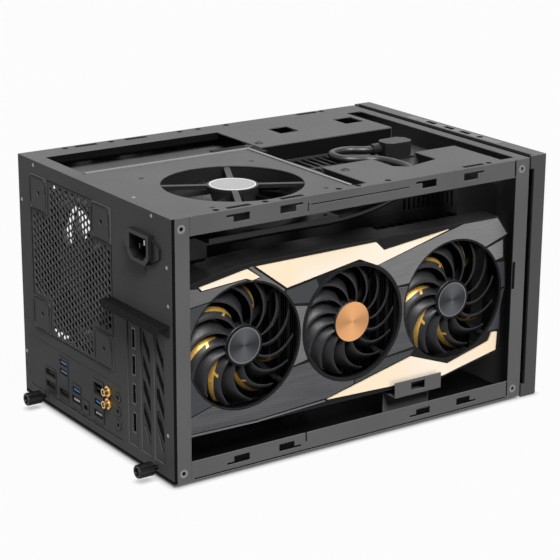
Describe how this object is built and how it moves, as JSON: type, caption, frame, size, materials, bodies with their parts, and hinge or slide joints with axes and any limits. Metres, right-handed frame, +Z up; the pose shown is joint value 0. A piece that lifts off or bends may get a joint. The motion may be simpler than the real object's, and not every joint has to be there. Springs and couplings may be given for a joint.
{
  "type": "mini-itx computer case",
  "caption": "Open mini-ITX computer case of folded steel with a plain fascia, upright power supply, main board, case fans and a long triple-fan graphics card.",
  "frame": {"origin": "on the table under the middle of the overall box", "axes": "+Z up, -Y out of the fascia, +Y out of the rear panel, -X out of the side that the card's fans face"},
  "size_m": [0.247, 0.386, 0.215],
  "materials": {
    "black_steel": "black powder coat",
    "supply_steel": "black paint",
    "fascia_plastic": "fine matt texture",
    "strip_plastic": "polished",
    "black_plastic": "moulded",
    "shroud_plastic": "fine weave texture",
    "gold_trim": "pale gold anodised",
    "dark_cap": "turned, dark",
    "copper_cap": "turned copper colour",
    "nickel": "nickel plated",
    "brass": "turned",
    "gold_connector": "gold plated",
    "circuit_board": "black solder mask",
    "chip_lid": "plated",
    "fins": "plain",
    "rubber": "matt",
    "cord_rubber": "matt"
  },
  "bodies": {
    "case": {"base_pan": "black_steel", "rear_panel": "black_steel", "front_frame": "black_steel", "left_rail": "black_steel", "right_rail": "black_steel", "fan_plate": "black_steel", "psu_bracket": "black_steel", "drive_tray": "black_steel", "card_holder": "black_steel", "slot_clamp": "black_steel", "card_bracket": "black_steel", "thumbscrews": "black_steel", "psu_case": "supply_steel", "psu_fan_guard": "supply_steel", "card_backplate": "supply_steel", "front_panel": "fascia_plastic", "io_strip": "strip_plastic", "inlet_socket": "black_plastic", "inlet_tail": "black_plastic", "psu_plug": "black_plastic", "psu_inlet": "black_plastic", "psu_switch_frame": "black_plastic", "top_fan_frame": "black_plastic", "rear_fan_frame": "black_plastic", "psu_fan_frame": "black_plastic", "memory_slots": "black_plastic", "card_slot": "black_plastic", "card_fan_mounts": "black_plastic", "card_shroud": "shroud_plastic", "card_trim_rear": "gold_trim", "card_trim_middle": "gold_trim", "card_trim_front": "gold_trim", "corner_nuts": "nickel", "inlet_pins": "nickel", "rear_ports": "nickel", "card_ports": "nickel", "front_sockets": "nickel", "io_shield": "nickel", "standoffs": "brass", "antenna_jacks": "gold_connector", "motherboard": "circuit_board", "card_board": "circuit_board", "memory_modules": "circuit_board", "processor": "chip_lid", "card_core": "chip_lid", "cpu_cooler": "fins", "card_heatsink": "fins", "feet": "rubber", "mains_lead": "cord_rubber"},
    "card_rotor_rear": {"card_fan_rear": "black_plastic", "card_cap_rear": "dark_cap"},
    "card_rotor_middle": {"card_fan_middle": "black_plastic", "card_cap_middle": "copper_cap"},
    "card_rotor_front": {"card_fan_front": "black_plastic", "card_cap_front": "dark_cap"},
    "top_rotor": {"top_fan_rotor": "black_plastic"},
    "rear_rotor": {"rear_fan_rotor": "black_plastic"},
    "supply_rotor": {"psu_fan_rotor": "black_plastic"},
    "power_button": {"power_button": "strip_plastic"},
    "supply_rocker": {"psu_switch": "black_plastic"}
  },
  "joints": [
    {"name": "card_fan_rear_spin", "type": "hinge", "parent": "case", "child": "card_rotor_rear", "pos_m": [-0.106, 0.104, 0.0995], "axis": [1, 0, 0], "continuous": true},
    {"name": "card_fan_middle_spin", "type": "hinge", "parent": "case", "child": "card_rotor_middle", "pos_m": [-0.106, 0, 0.0995], "axis": [1, 0, 0], "continuous": true},
    {"name": "card_fan_front_spin", "type": "hinge", "parent": "case", "child": "card_rotor_front", "pos_m": [-0.106, -0.104, 0.0995], "axis": [1, 0, 0], "continuous": true},
    {"name": "top_fan_spin", "type": "hinge", "parent": "case", "child": "top_rotor", "pos_m": [-0.0575, 0.0785, 0.2], "axis": [0, 0, 1], "continuous": true},
    {"name": "rear_fan_spin", "type": "hinge", "parent": "case", "child": "rear_rotor", "pos_m": [0.0345, 0.161, 0.135], "axis": [0, 1, 0], "continuous": true},
    {"name": "supply_fan_spin", "type": "hinge", "parent": "case", "child": "supply_rotor", "pos_m": [0.025, -0.0865, 0.129], "axis": [1, 0, 0], "continuous": true},
    {"name": "power_press", "type": "slide", "parent": "case", "child": "power_button", "axis": [0, 0, -1], "range_m": [0, 0.0012], "stiffness_N_per_m": 400},
    {"name": "supply_rocker_tilt", "type": "hinge", "parent": "case", "child": "supply_rocker", "pos_m": [-0.008, -0.094, 0.196], "axis": [1, 0, 0], "range_deg": [-18, 0]}
  ]
}
